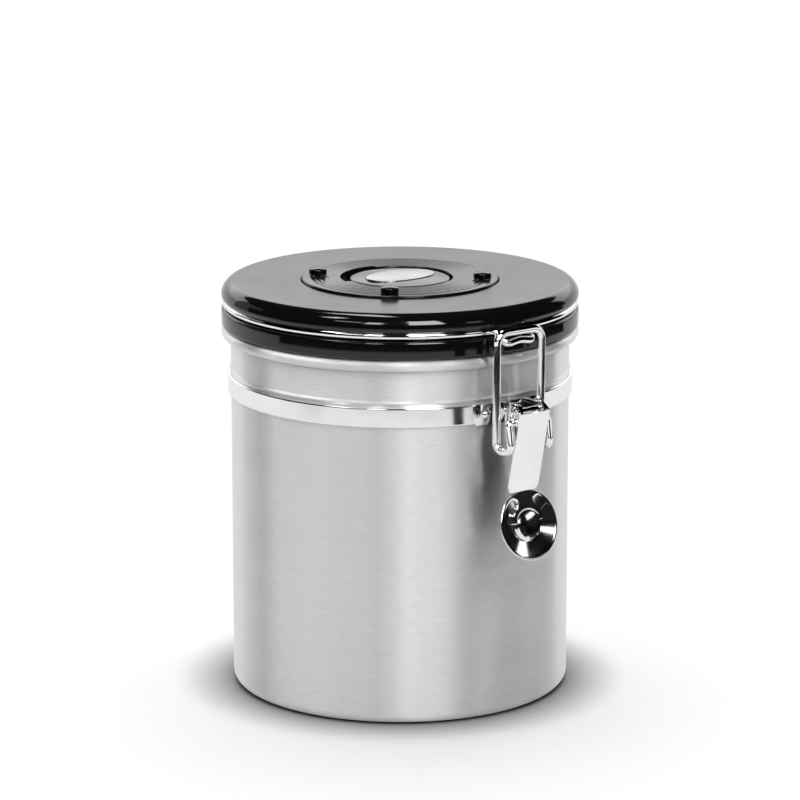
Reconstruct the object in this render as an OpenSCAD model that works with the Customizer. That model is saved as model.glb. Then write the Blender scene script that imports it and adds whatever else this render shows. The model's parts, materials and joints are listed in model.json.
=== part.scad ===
// Coffee canister with a clamped lid and a one-way freshness valve.
// Origin: centre of the flat bottom. +Z up, the clamp faces -Y, the lid hinge is at +Y.

/* [Can] */
// Outer radius of the can wall
can_r = 62.9; // [50:0.1:80]
// Sheet thickness of the can
can_wall = 0.8; // [0.6:0.1:1.2]
// Height of the middle of the rolled rim
rim_z = 134.2; // [110:0.1:200]
// Outer radius of the round of the rolled rim
rim_roll_r = 2.1; // [1.6:0.1:2.6]
// Outer radius of the bottom corner
foot_r = 4; // [2:0.5:8]
// Height of the locating bead above the band
bead_h = 0.45; // [0.2:0.05:0.8]
// Depth of the pressed ring in the bottom
press_h = 0.5; // [0.2:0.1:1]
// Inner radius of the pressed ring in the bottom
press_r = 44; // [30:0.5:48]
// Width of the pressed ring
press_w = 6; // [3:0.5:8]

/* [Band] */
// Width of the clamping band
band_w = 7.2; // [5:0.1:12]
// Distance from the middle of the rolled rim down to the top of the band
band_drop = 15.6; // [10:0.1:30]
// Sheet thickness of the band
band_wall = 0.7; // [0.5:0.1:1.2]
// Space between the can wall and the face of the band
band_stand = 0.5; // [0.3:0.05:1.2]

/* [Lid] */
// Distance that the lid's edge stands out over the rolled rim
lid_over = 0; // [0:0.1:2]
// Height of the lid's upper edge, from the wire groove to the top
lid_top_h = 7.9; // [6:0.1:12]
// Height of the lid's lower ring below the wire groove
lid_ring_h = 8.5; // [6.5:0.1:12]
// Radius of the rounded top edge
lid_edge_r = 5; // [2:0.1:6]
// Wall thickness of the lid moulding
lid_wall = 2.4; // [1.8:0.1:3]
// Depth of the plug that enters the can, below the top of the rim
plug_depth = 6.8; // [4:0.1:12]
// Clearance between the plug and the can
plug_gap = 1.2; // [1:0.05:2]
// Height of the air gap that the gasket leaves on the rim
seal_gap = 0.15; // [0.1:0.05:0.3]
// Width of the gasket
seal_w = 3; // [2:0.1:3.6]

/* [Wires] */
// Diameter of the wire round the lid
hoop_d = 2.8; // [2.2:0.1:3]
// Diameter of the wire of the bail
bail_d = 3; // [2.4:0.1:3.2]
// Clearance of the wire in the lid's groove
groove_gap = 0.05; // [0.02:0.01:0.1]
// Distance of the catch bar outward from the lid's edge
catch_out = 3; // [2.6:0.1:4]
// Drop of the catch bar below the wire groove
catch_drop = 3.1; // [2.9:0.05:4]
// Half width of the catch between its two corners
catch_half = 6.3; // [5:0.1:7]
// Rise of the middle of the catch bar
catch_arch = 1; // [0.4:0.1:1.4]

/* [Clamp] */
// Half width between the two long legs of the bail
bail_half = 10.3; // [9.9:0.1:12]
// Free space between the bail and the catch when clamped
bail_rest_gap = 0.3; // [0.2:0.05:0.4]
// Length of the bail legs below their pivot
hook_drop = 10.7; // [8:0.1:14]
// Height of the lever pin above the bail pivot
pin_rise = 4.1; // [3.8:0.05:4.6]
// Distance of the lever pin outward from the face of the band
pin_out = 10.9; // [10:0.1:13]
// Distance of the lever pin below the top of the band
pin_drop = 1.3; // [0.5:0.1:3]
// Over-centre offset of the bail pivot, inward from the lever pin
over_centre = 0.4; // [0.2:0.05:0.6]
// Diameter of the lever pin
pin_d = 1.8; // [1.4:0.1:2]
// Radial clearance of the turning fits
turn_gap = 0.05; // [0.02:0.01:0.1]
// Outer width of the lever
lever_w = 14; // [13:0.1:16]
// Sheet thickness of the lever
lever_wall = 0.8; // [0.6:0.1:1]
// Length of the lever from its top edge to the crease above the thumb disc
lever_len = 31; // [26:0.5:40]
// Depth of the lever's side walls at the top
lever_depth = 8.7; // [8:0.1:9.5]
// Lean of the lever towards the can, in degrees
lever_lean = 12.3; // [6:0.1:16]
// Radius of the thumb disc
thumb_r = 13; // [11:0.1:15]
// Lean of the thumb disc away from the can, in degrees
thumb_lean = 16; // [10:0.5:24]
// Depth of the dish in the thumb disc
dish_depth = 1.3; // [0.6:0.1:1.6]
// Radius of the domed boss in the middle of the thumb disc
boss_r = 5; // [3.5:0.1:6]
// Thickness of the bracket's sheet
bracket_wall = 1.2; // [1:0.1:1.6]
// Half width of the latch bracket along the band
bracket_half = 15.2; // [14:0.1:20]
// Radius of the rounded ends of the bracket's ears
ear_r = 2.6; // [2.2:0.1:2.8]

/* [Hinge] */
// Distance of the hinge axis outward from the lid's edge
hinge_out = 4.7; // [4:0.1:7]
// Width of the hinge strap and its rolled eye
hinge_w = 13; // [10:0.5:13]
// Thickness of the hinge strap
hinge_wall = 1.2; // [1:0.1:1.4]
// Half width of the plate of the hinge on the band
hinge_half = 15; // [12:0.5:20]

/* [Valve] */
// Radius of the turning vent cover
cover_r = 36.3; // [32:0.1:40]
// Height of the cover above the top of the lid
cover_rise = 0.8; // [0.3:0.1:1.5]
// Inner radius of the ribbed ring
cover_in_r = 19.6; // [18:0.1:22]
// Clearance of the cover in the lid's well
cover_gap = 0.3; // [0.2:0.05:0.6]
// Depth of the well in the lid
well_depth = 6; // [5.8:0.1:7]
// Pitch of the fine ribs on the ring
rib_pitch = 1.7; // [1.4:0.1:2.5]
// Width of a rib
rib_w = 0.8; // [0.4:0.1:1]
// Radius of a grip stud
stud_r = 3.35; // [2.5:0.05:4.5]
// Height of a grip stud
stud_h = 2.2; // [1.6:0.1:4.5]
// Height of the low dome on top of a grip stud
stud_dome = 0.5; // [0.3:0.1:1]
// Distance of the grip studs from the middle
stud_at = 30.7; // [27:0.1:31.5]
// Width of the gap between the ribbed ring and the cap in the middle
cap_gap = 1.1; // [0.8:0.1:2]
// Height of the cap's dome
cap_dome = 1; // [0.5:0.1:2]
// Length of the oval plate on the cap
plate_len = 28.6; // [20:0.1:30]
// Width of the oval plate on the cap
plate_wid = 18.3; // [14:0.1:20]
// Thickness of the oval plate
plate_t = 0.7; // [0.5:0.1:1]
// Radius of the valve's body where it passes through the lid
valve_r = 21.7; // [18:0.1:24]
// Radius of the silicone flap
flap_r = 11.5; // [9:0.1:12.5]
// Thickness of the silicone flap
flap_t = 0.6; // [0.4:0.05:0.8]
// Lift of the silicone flap
flap_lift = 0.35; // [0.2:0.05:0.45]

/* [Hidden] */
$fn = 96;
SEAT = 0.02;
WIRE_IN = 0.05;
WIRE_SWELL = 0.01;
BIG = 400;

// Can
can_in = can_r - can_wall;
rim_r = can_r - can_wall + rim_roll_r;
rim_top = rim_z + rim_roll_r;
lid_r = rim_r + rim_roll_r + lid_over;
bead_r = 0.75;
bead_gap = 1.5;
curl_gap = 1;

// Band, measured on the can
band_top = rim_z - band_drop;
band_bot = band_top - band_w;
band_out = can_r + band_stand + band_wall;
band_mid = (band_top + band_bot) / 2;
band_edge = 0.6;

// Lid, measured up from the rim
seal_z = rim_top + seal_gap;
shell_bot = seal_z + 0.15;
hoop_z = shell_bot + lid_ring_h;
lid_z = hoop_z + lid_top_h;
hoop_r = hoop_d / 2;
hoop_ring = lid_r - 1.7;
groove_r = hoop_r + groove_gap;
plug_r = can_in - plug_gap;
shell_in = plug_r + 0.1;
seal_h = 2.1;
ring_top = hoop_z - 1.7;
ring_round = 1.2;
under_round = 2;
under_z = hoop_z + 2.9;
seal_in = rim_r - seal_w / 2 - 1;
seal_out = seal_in + seal_w;

// Catch and bail
catch_r = lid_r + catch_out;
catch_z = hoop_z - catch_drop;
notch_floor = catch_z - 0.7;
notch_half = catch_half + 2.6;
bail_r = bail_d / 2;
bar_z = catch_z + hoop_r + bail_rest_gap + bail_r - 0.1;
bar_y = catch_r;
pin_y = band_out + pin_out;
pin_z = band_top - pin_drop;
pivot_y = pin_y - over_centre;
pivot_z = pin_z - pin_rise;
pin_r = pin_d / 2;
hook_z = pivot_z - hook_drop;
hook_y = pivot_y + 1.6;
hook_half = lever_w / 2 + bail_r + 0.5;
end_half = lever_w / 2 - lever_wall - 0.1;
bail_bend = 2.8 * bail_r;
hook_bend = 1.93 * bail_r;
end_bend = 1.07 * bail_r;
catch_stub = 3.15 * hoop_r;
catch_bend = 1.8 * hoop_r;
corner_bend = 1.43 * hoop_r;
arch_bend = 5.7 * hoop_r;
bar_stub = 1.72 * hoop_r;
bar_bend = 1.36 * hoop_r;

// Lever, in its own frame with the outer face on y = 0 and the top edge on z = 0
lever_y = pin_y + 4.1;
lever_z = pin_z - 0.4;
wall_len = 16.5;
lip = 1;
wall_rise = 1.9;
corner_r = 1;
rim_lip = 0.5;
plate_extra = 1.6;
thumb_lap = 0.64;

// Bracket
plate_in = band_out + SEAT;
plate_out = plate_in + bracket_wall;
plate_h = band_w + 0.4;
ear_out = lever_w / 2 - lever_wall - 0.3;
arm_half = ear_r - 0.4;
rivet_r = 0.9;
rivet_head_r = 1.5;
rivet_head_h = 0.8;
rivet_head_ball = (pow(rivet_head_r, 2) + pow(rivet_head_h, 2)) / (2 * rivet_head_h);
rivet_at = 10.9;

// Hinge
hinge_y = lid_r + hinge_out;
eye_out = hoop_r + turn_gap + hinge_wall;
strap_in = hinge_y - eye_out;
leg_half = hinge_w / 2 + 2.9;

// Valve
well_z = lid_z - well_depth;
well_r = cover_r + cover_gap;
floor_t = 2;
cover_z = lid_z + cover_rise;
cover_t = 2.2;
skirt_r = cover_r - 1.2;
ledge_w = 1.2;
ledge_z = well_z + 1.6;
ledge_h = 1.2;
lug_h = 1.1;
cover_floor = well_z + 2.6;
cover_floor_t = 1;
tube_in = cover_in_r + 2.9;
tube_t = 1.3;
slot_start = 79;
slot_end = 168;
slot_w = 2.6;
cap_r = cover_in_r - cap_gap;
cap_z = cover_z - 0.4;
cap_bot = cover_z - 2.2;
neck_r = 11;
flange_r = valve_r + 2.6;
flange_h = 1.2;
valve_top = well_z + flange_h;
valve_bot = well_z - floor_t - 3;
seat_z = well_z - 1.6;
seat_t = 1.2;
cavity_r = flap_r + 1.3;
cage_r = cavity_r + 2.2;
cage_t = 1.1;
flap_z = seat_z + 0.05;
cage_stop = flap_z + flap_t + flap_lift + 0.1;
vent_hole_r = 1.3;
vent_ring_at = 6.2;
guide_r = 1.5;
valve_side = 5;
pad_lap = 0.9;
pad_r = valve_r - valve_side;
pad_t = 1;
plate_hole = pad_r - pad_lap;

// Unit vector along v
function unit(v) = v / norm(v);
// A profile rectangle from [r0, z0] to [r1, z1]
module block(r0, z0, r1, z1) {
    translate([r0, z0]) square([r1 - r0, z1 - z0]);
}
module disc_at(r, z, rad) {
    translate([r, z]) circle(rad);
}
// A part of a ring about Z between two world angles
module ring_part(r0, r1, z0, z1, a0, a1) {
    rotate([0, 0, a0]) rotate_extrude(angle = a1 - a0) block(r0, z0, r1, z1);
}
// A straight stretch of wire
module wire_run(a, b, rad) {
    d = b - a;
    translate(a) rotate([0, acos(d.z / norm(d)), atan2(d.y, d.x)]) cylinder(r = rad, h = norm(d));
}
// A round bend of wire at p1 between the directions to p0 and p2
module wire_bend(p0, p1, p2, bend, rad) {
    u = unit(p1 - p0);
    v = unit(p2 - p1);
    turn = acos(u * v);
    n = unit(cross(u, v));
    middle = p1 + unit(v - u) * bend / cos(turn / 2);
    s = unit(p1 - u * bend * tan(turn / 2) - middle);
    tilt = acos(n.z);
    swing = atan2(n.y, n.x);
    e1 = [cos(tilt) * cos(swing), cos(tilt) * sin(swing), -sin(tilt)];
    e2 = [-sin(swing), cos(swing), 0];
    translate(middle) rotate([0, tilt, swing]) rotate([0, 0, atan2(s * e2, s * e1)])
        rotate_extrude(angle = turn) translate([bend, 0]) circle(rad);
}
// Length that a bend takes from each of its two straight runs
function bend_take(p, i, bends) = i == 0 || i == len(p) - 1 ? 0
    : bends[i] * tan(acos(unit(p[i] - p[i - 1]) * unit(p[i + 1] - p[i])) / 2);
// Wire through the points p, with a bend radius for each point. Each straight run enters its bends a little,
// and a bend swells by a hair, as bent wire does.
module bent_wire(p, bends, rad) {
    last = len(p) - 1;
    for (i = [0 : last - 1]) {
        u = unit(p[i + 1] - p[i]);
        from = bend_take(p, i, bends) - (i == 0 ? 0 : WIRE_IN);
        upto = bend_take(p, i + 1, bends) - (i == last - 1 ? 0 : WIRE_IN);
        wire_run(p[i] + u * from, p[i + 1] - u * upto, rad);
    }
    for (i = [1 : last - 1])
        wire_bend(p[i - 1], p[i], p[i + 1], bends[i], rad + WIRE_SWELL);
}

// Drawn can of sheet steel, with a pressed bottom, a bead and a rolled rim
module can_body() {
    color("silver") rotate_extrude() {
        block(0, 0, press_r - can_wall, can_wall);
        block(press_r - can_wall, press_h, press_r + press_w + can_wall, press_h + can_wall);
        block(press_r - can_wall, 0, press_r, press_h + can_wall);
        block(press_r + press_w, 0, press_r + press_w + can_wall, press_h + can_wall);
        block(press_r + press_w, 0, can_r - foot_r, can_wall);
        intersection() {
            difference() {
                disc_at(can_r - foot_r, foot_r, foot_r);
                disc_at(can_r - foot_r, foot_r, foot_r - can_wall);
            }
            block(can_r - foot_r, 0, can_r, foot_r);
        }
        block(can_in, foot_r, can_r, rim_z);
        difference() {
            disc_at(can_r - bead_r + bead_h, band_top + bead_gap, bead_r);
            block(0, 0, can_in, rim_z);
        }
        difference() {
            disc_at(rim_r, rim_z, rim_roll_r);
            disc_at(rim_r, rim_z, rim_roll_r - can_wall);
            block(can_r, 0, can_r + curl_gap, rim_z - rim_roll_r / 2);
        }
    }
}

// Polished strap that is drawn tight round the can
module band_strap() {
    color("gainsboro") difference() {
        rotate_extrude() {
            block(band_out - band_wall, band_bot + band_edge, band_out, band_top - band_edge);
            block(can_r + SEAT, band_bot, band_out - band_edge, band_bot + band_edge);
            block(can_r + SEAT, band_top - band_edge, band_out - band_edge, band_top);
            disc_at(band_out - band_edge, band_bot + band_edge, band_edge);
            disc_at(band_out - band_edge, band_top - band_edge, band_edge);
        }
        for (side = [-1, 1]) {
            band_hole(side * rivet_at, -1);
            band_hole(side * rivet_at, 1);
        }
    }
}
// Turn about Z, in degrees, that puts a point of the band at x on the side way (-1 front, 1 back)
function around(x, way) = (way < 0 ? -90 : 90) - way * asin(x / band_out);
module band_hole(x, way) {
    translate([0, 0, band_mid]) rotate([0, 0, around(x, way)]) rotate([0, 90, 0])
        cylinder(r = rivet_r + SEAT, h = BIG, $fn = 48);
}

// Plate on the band that carries the ears of the lever
module latch_bracket() {
    reach = asin(bracket_half / plate_out);
    color("silver") difference() {
        union() {
            ring_part(plate_in, plate_out, band_mid - plate_h / 2, band_mid + plate_h / 2,
                -90 - reach, -90 + reach);
            for (side = [-1, 1])
                translate([side > 0 ? ear_out - bracket_wall : -ear_out, 0, 0]) ear();
        }
        translate([-BIG / 2, -pin_y, pin_z]) rotate([0, 90, 0]) cylinder(r = pin_r + SEAT, h = BIG);
        for (side = [-1, 1])
            band_hole(side * rivet_at, -1);
    }
}
module ear() {
    root = sqrt(pow(plate_out, 2) - pow(ear_out, 2)) - bracket_wall / 2;
    translate([0, -pin_y, pin_z]) rotate([90, 0, 90]) linear_extrude(bracket_wall) {
        circle(ear_r);
        polygon([[0, -arm_half], [pin_y - root - 3, -arm_half],
            [pin_y - root, band_mid - plate_h / 2 - pin_z], [pin_y - root, band_mid + plate_h / 2 - pin_z],
            [pin_y - root - 3, arm_half], [0, arm_half]]);
    }
}
// Domed rivets through a bracket and the band
module rivet_pair(way) {
    stem = band_out - band_wall + SEAT;
    for (side = [-1, 1])
        translate([0, 0, band_mid]) rotate([0, 0, around(side * rivet_at, way)]) rotate([0, 90, 0])
            rotate_extrude($fn = 48) {
                block(0, stem, rivet_r, plate_out);
                intersection() {
                    disc_at(0, plate_out + rivet_head_h - rivet_head_ball, rivet_head_ball);
                    block(0, plate_out + SEAT, rivet_head_r, plate_out + rivet_head_h);
                }
            }
}
module bracket_rivets() {
    color("gainsboro") rivet_pair(-1);
}
module hinge_rivets() {
    color("gainsboro") rivet_pair(1);
}

// Pin of the lever, with small heads outside the lever's walls
module lever_pin() {
    half = lever_w / 2 + 0.08;
    color("gainsboro") translate([0, -pin_y, pin_z]) rotate([0, 90, 0]) {
        translate([0, 0, -half]) cylinder(r = pin_r, h = 2 * half);
        for (side = [-1, 1])
            translate([0, 0, side > 0 ? half : -half - 0.3]) cylinder(r = pin_r + 0.35, h = 0.3);
    }
}

// Sheet lever: channel at the top, flat handle and a dished thumb disc
module latch_lever() {
    color("silver") translate([0, -lever_y, lever_z]) rotate([lever_lean, 0, 0]) difference() {
        union() {
            lever_channel();
            translate([0, 0, -lever_len]) rotate([-lever_lean - thumb_lean, 0, 0]) thumb_disc();
        }
        lever_hole(pin_y, pin_z, pin_r);
        lever_hole(pivot_y, pivot_z, bail_r);
    }
}
// Bore across the lever at a place of the whole model, in the lever's own frame
module lever_hole(y, z, rad) {
    rotate([-lever_lean, 0, 0]) translate([-BIG / 2, lever_y - y, z - lever_z])
        rotate([0, 90, 0]) cylinder(r = rad + turn_gap, h = BIG);
}
module lever_channel() {
    half = lever_w / 2;
    intersection() {
        translate([0, 0, -lever_len]) linear_extrude(lever_len + wall_rise) difference() {
            union() {
                block(-half, corner_r, half, lever_depth);
                block(-half + corner_r, 0, half - corner_r, corner_r);
                for (side = [-1, 1])
                    disc_at(side * (half - corner_r), corner_r, corner_r);
            }
            block(-half + lever_wall, lever_wall, half - lever_wall, BIG);
        }
        translate([-half, 0, 0]) rotate([90, 0, 90]) linear_extrude(lever_w) {
            polygon(concat([[0, -lever_len], [0, 0], [lever_depth * 0.45, wall_rise * 0.85],
                [lever_depth * 0.95, wall_rise]],
                [for (i = [0 : 12]) [lever_depth * cos(90 * i / 12), -wall_len * sin(90 * i / 12)]
                    + [i == 12 ? lip : 0, 0]], [[lip, -lever_len]]));
        }
    }
}
// Height of the dish over its rim plane at radius r, as a smooth wave with a boss in the middle
function dish_at(r) = r > thumb_r - rim_lip ? 0
    : r > boss_r ? -dish_depth * pow(sin(180 * (thumb_r - rim_lip - r) / (thumb_r - rim_lip - boss_r)), 2)
    : 0.6 * (1 - pow(r / boss_r, 2));
module thumb_disc() {
    steps = 26;
    centre = thumb_r - thumb_lap;
    rs = [for (i = [0 : steps]) thumb_r * i / steps];
    translate([0, 0, -centre]) rotate([90, 0, 0]) rotate_extrude()
        polygon(concat([for (r = rs) [r, dish_at(r)]],
            [for (i = [steps : -1 : 0]) [rs[i], dish_at(rs[i]) - lever_wall]]));
    tongue(centre);
}
// Flat tongue that runs from the handle over the dish to the boss
module tongue(centre) {
    half = lever_w / 2;
    neck = half / 2;
    flare = half - 0.9;
    translate([0, lever_wall + 0.4, 0]) rotate([90, 0, 0]) linear_extrude(lever_wall + 0.4) difference() {
        polygon([[-half, 0.2], [-half, -plate_extra], [-neck, -3.2], [-neck, -4], [-flare, -centre + 3.9],
            [flare, -centre + 3.9], [neck, -4], [neck, -3.2], [half, -plate_extra], [half, 0.2]]);
        disc_at(0, -centre, boss_r + 1);
    }
}

// Bail: rectangular loop, hooked legs and ends that turn in the lever's walls
module bail_wire() {
    leg = [[bail_half, -bar_y, bar_z], [bail_half, -bar_y, hook_z], [hook_half, -hook_y, hook_z],
        [hook_half, -pivot_y, pivot_z], [end_half, -pivot_y, pivot_z]];
    bends = [bail_bend, hook_bend, hook_bend, end_bend, 0];
    color("gainsboro") bent_wire(concat(backwards(across(leg)), leg), concat(backwards(bends), bends), bail_r);
}
function backwards(list) = [for (i = [len(list) - 1 : -1 : 0]) list[i]];

// Strap with a rolled eye that carries the rear bar of the lid wire
module hinge_bracket() {
    reach = asin(hinge_half / plate_out);
    foot_y = plate_in + bracket_wall / 2;
    bend_z = rim_z - rim_roll_r - 3;
    color("silver") difference() {
        union() {
            ring_part(plate_in, plate_out, band_mid - plate_h / 2, band_mid + plate_h / 2,
                90 - reach, 90 + reach);
            translate([-hinge_w / 2, 0, 0]) rotate([90, 0, 90]) linear_extrude(hinge_w) {
                difference() {
                    disc_at(hinge_y, hoop_z, eye_out);
                    disc_at(hinge_y, hoop_z, hoop_r + turn_gap);
                }
                difference() {
                    block(strap_in, bend_z, strap_in + hinge_wall, hoop_z);
                    disc_at(hinge_y, hoop_z, hoop_r + turn_gap);
                }
                polygon([[foot_y, band_mid + plate_h / 2 - 3], [foot_y, band_mid + plate_h / 2 + 1],
                    [strap_in, bend_z], [strap_in + hinge_wall, bend_z],
                    [plate_out + 0.6, band_mid + plate_h / 2 - 1], [plate_out + 0.6, band_mid + plate_h / 2 - 3]]);
            }
        }
        translate([0, 0, band_bot - 5]) cylinder(r = plate_in, h = band_w + 10);
        for (side = [-1, 1])
            band_hole(side * rivet_at, 1);
    }
}

// Moulded lid with a rounded edge, a groove for the wire and a well for the vent cover
module lid_shell() {
    color("#1a1a1a") difference() {
        rotate_extrude() difference() {
            union() {
                block(0, under_z - under_round, lid_r - under_round, lid_z - lid_edge_r);
                block(0, lid_z - lid_edge_r, lid_r - lid_edge_r, lid_z);
                disc_at(lid_r - under_round, under_z, under_round);
                intersection() {
                    disc_at(lid_r - lid_edge_r, lid_z - lid_edge_r, lid_edge_r);
                    block(0, under_z, lid_r, lid_z);
                }
                block(0, shell_bot, hoop_ring - 1, hoop_z + 2);
                block(0, shell_bot, lid_r - 1, shell_bot + 1);
                disc_at(lid_r - 1, shell_bot + 1, 1);
                block(0, shell_bot + 1, lid_r, ring_top - ring_round);
                disc_at(lid_r - ring_round, ring_top - ring_round, ring_round);
                block(0, ring_top - ring_round, lid_r - ring_round, ring_top);
            }
            disc_at(hoop_ring, hoop_z, groove_r);
            block(0, well_z, well_r, BIG);
            block(0, 0, shell_in, well_z - floor_t);
            block(well_r + lid_wall, 0, shell_in, lid_z - lid_wall);
            block(0, 0, valve_r + 0.3, BIG);
            block(seal_in - 0.1, 0, seal_out + 0.1, seal_z + seal_h);
        }
        wire_notch(-1, notch_half, notch_floor);
        wire_notch(1, leg_half + 2.4, ring_top);
    }
    color("#1a1a1a") for (i = [0 : 2])
        ring_part(well_r - ledge_w, well_r + 0.5, ledge_z, ledge_z + ledge_h, 120 * i - 12, 120 * i + 12);
}
// Slot through which the wire leaves its groove, at the front (way -1) or the back (way 1)
module wire_notch(way, half, low) {
    deep = hoop_ring - 0.4;
    translate([-half, way < 0 ? -BIG : deep, low]) cube([2 * half, BIG - deep, hoop_z + groove_r + 0.1 - low]);
}

// Inner plug of the lid, snapped into the shell
module lid_liner() {
    floor_top = valve_bot;
    color("#2b2b2b") rotate_extrude() {
        block(plate_hole, floor_top - 2, plug_r, floor_top);
        block(plug_r - 2, rim_top - plug_depth, plug_r, floor_top);
        block(plug_r - 1.8, floor_top, plug_r, lid_z - lid_wall);
        block(well_r + lid_wall - 2, floor_top, well_r + lid_wall, well_z - floor_t);
    }
}

// Soft ring that the lid presses on the rolled rim
module lid_gasket() {
    color("#3a3a3a") rotate_extrude() block(seal_in, seal_z, seal_out, seal_z + seal_h);
}

// Wire round the lid: a catch at the front and the hinge bar at the back
module lid_wire() {
    front = 10;
    back = 10.5;
    catch = [on_hoop(front - 90), on_hoop(front - 90) + catch_stub * [-cos(front), -sin(front), 0],
        [catch_half, -catch_r, catch_z - catch_arch]];
    bar = [on_hoop(90 - back), on_hoop(90 - back) + bar_stub * [-cos(back), sin(back), 0],
        [leg_half, hinge_y, hoop_z]];
    color("gainsboro") {
        for (side = [0, 1])
            rotate([0, 0, side > 0 ? front - 90 : 90 + back]) rotate_extrude(angle = 180 - back - front)
                disc_at(hoop_ring, hoop_z, hoop_r + WIRE_SWELL);
        bent_wire(concat(catch, [[0, -catch_r, catch_z]], backwards(across(catch))),
            [0, catch_bend, corner_bend, arch_bend, corner_bend, catch_bend, 0], hoop_r);
        bent_wire(concat(bar, backwards(across(bar))), [0, bar_bend, bar_bend, bar_bend, bar_bend, 0], hoop_r);
    }
}
function on_hoop(a) = [hoop_ring * cos(a), hoop_ring * sin(a), hoop_z];
function across(list) = [for (q = list) [-q.x, q.y, q.z]];

// Body of the one-way valve, set in the floor of the well
module valve_body() {
    color("#e8e8e4") difference() {
        rotate_extrude() difference() {
            union() {
                block(0, valve_bot, valve_r, well_z);
                block(0, well_z, flange_r, valve_top);
            }
            block(0, seat_z, cavity_r, BIG);
            block(0, valve_top - cage_t, cage_r + 0.1, BIG);
            block(0, 0, pad_r + 0.2, seat_z - seat_t);
            block(valve_r - 1.1, valve_bot + 2.2, BIG, valve_bot + 3.6);
        }
        for (i = [0 : 7])
            rotate([0, 0, 45 * i]) translate([vent_ring_at, 0, 0]) cylinder(r = vent_hole_r, h = BIG);
    }
}
// Ring that seals the valve in the lid
module valve_o_ring() {
    color("#303030") rotate_extrude() disc_at(valve_r - 0.4, valve_bot + 2.9, 0.65);
}
// Open cage that holds and guides the flap
module valve_cage() {
    color("#d8d8d4") difference() {
        union() {
            translate([0, 0, valve_top - cage_t]) cylinder(r = cage_r, h = cage_t);
            rotate_extrude() block(cavity_r - 1.6, cage_stop, cavity_r - 0.4, valve_top - cage_t + 0.2);
            translate([0, 0, seat_z + 0.3]) cylinder(r = guide_r, h = valve_top - seat_z - 0.5);
        }
        for (i = [0 : 5])
            rotate([0, 0, 60 * i]) ring_part(guide_r + 1.4, cavity_r - 2.4, 0, BIG, 5, 55);
    }
}
// Filter pad under the valve
module valve_filter() {
    color("#c9b79a") translate([0, 0, seat_z - seat_t - pad_t]) cylinder(r = pad_r, h = pad_t);
}
// Grid that holds the filter pad
module filter_retainer() {
    top = seat_z - seat_t - pad_t;
    color("#d8d8d4") difference() {
        translate([0, 0, valve_bot]) cylinder(r = pad_r + 0.1, h = top - valve_bot);
        for (i = [0 : 5])
            rotate([0, 0, 60 * i]) ring_part(3, pad_r - 2, 0, BIG, 6, 54);
    }
}
// Silicone flap that lets gas out and no air in
module valve_flap() {
    color("#c9c4ba") translate([0, 0, flap_z]) difference() {
        cylinder(r = flap_r, h = flap_t);
        cylinder(r = guide_r + 0.25, h = BIG, center = true);
    }
}

// Ribbed ring that turns in the well, with the vent slot along its inner edge
module vent_ring() {
    floor_in = neck_r + 2;
    ribs = floor((cover_r - cover_in_r - 2) / rib_pitch);
    first = cover_in_r + 1.6;
    color("#1d1d1d") difference() {
        union() {
            rotate_extrude() {
                block(cover_in_r, cover_z - cover_t, cover_r - 0.5, cover_z);
                block(cover_in_r, cover_z - cover_t, cover_r, cover_z - 0.5);
                disc_at(cover_r - 0.5, cover_z - 0.5, 0.5);
                block(skirt_r - 1.8, well_z + 0.1, skirt_r, cover_z - 1);
                block(tube_in, cover_floor, tube_in + tube_t, cover_z - 1);
                block(neck_r - 3, cover_floor, tube_in + tube_t, cover_floor + cover_floor_t);
                for (i = [0 : ribs - 1])
                    disc_at(first + rib_pitch * i, cover_z - 0.1, rib_w / 2);
            }
            for (i = [0 : 2])
                ring_part(skirt_r - 0.4, well_r - 0.4, well_z + 0.2, well_z + 0.2 + lug_h, 120 * i - 10, 120 * i + 10);
        }
        ring_part(cover_in_r - 1, cover_in_r + slot_w, cover_z - cover_t - 0.5, BIG, slot_start, slot_end);
        for (i = [0 : 5])
            ring_part(neck_r + 1.5, cover_in_r - 1.5, 0, cover_z - cover_t, slot_start + 10 + 60 * i,
                slot_start + 40 + 60 * i);
        for (i = [0 : 2])
            rotate([0, 0, 135 + 90 * i]) translate([stud_at, 0, 0]) cylinder(r = 1.3 + SEAT, h = BIG);
    }
}
// Domed studs that the fingers turn the cover by
module grip_studs() {
    ball = (pow(stud_r, 2) + pow(stud_dome, 2)) / (2 * stud_dome);
    base = cover_z + rib_w / 2 - 0.1 + SEAT;
    color("#111111") for (i = [0 : 2])
        rotate([0, 0, 135 + 90 * i]) translate([stud_at, 0, base]) rotate_extrude($fn = 48) {
            block(0, 0, stud_r, stud_h - stud_dome);
            intersection() {
                disc_at(0, stud_h - ball, ball, $fn = 180);
                block(0, stud_h - stud_dome, stud_r, stud_h);
            }
            block(0, cover_z - cover_t - base, 1.3, 0);
        }
}
// Domed cap in the middle of the cover, with a shallow oval pocket
module centre_cap() {
    dome = (pow(cap_r, 2) + pow(cap_dome, 2)) / (2 * cap_dome);
    color("#202020") difference() {
        rotate_extrude() {
            intersection() {
                disc_at(0, cap_z + cap_dome - dome, dome, $fn = 360);
                block(0, cap_bot, cap_r, BIG);
            }
            block(0, cover_floor + cover_floor_t, neck_r, cap_bot);
            block(0, cover_floor, neck_r - 3 - SEAT, cap_bot);
        }
        translate([0, 0, cap_z + cap_dome - plate_t]) linear_extrude(BIG) oval(plate_len + 0.8, plate_wid + 0.8);
    }
}
// Bare oval plate set in the pocket of the cap
module oval_plate() {
    color("whitesmoke") translate([0, 0, cap_z + cap_dome - plate_t]) linear_extrude(plate_t)
        oval(plate_len, plate_wid);
}
module oval(long, wide) {
    polygon([for (a = [0 : 5 : 355]) [long / 2 * cos(a), wide / 2 * sin(a)]]);
}

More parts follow.
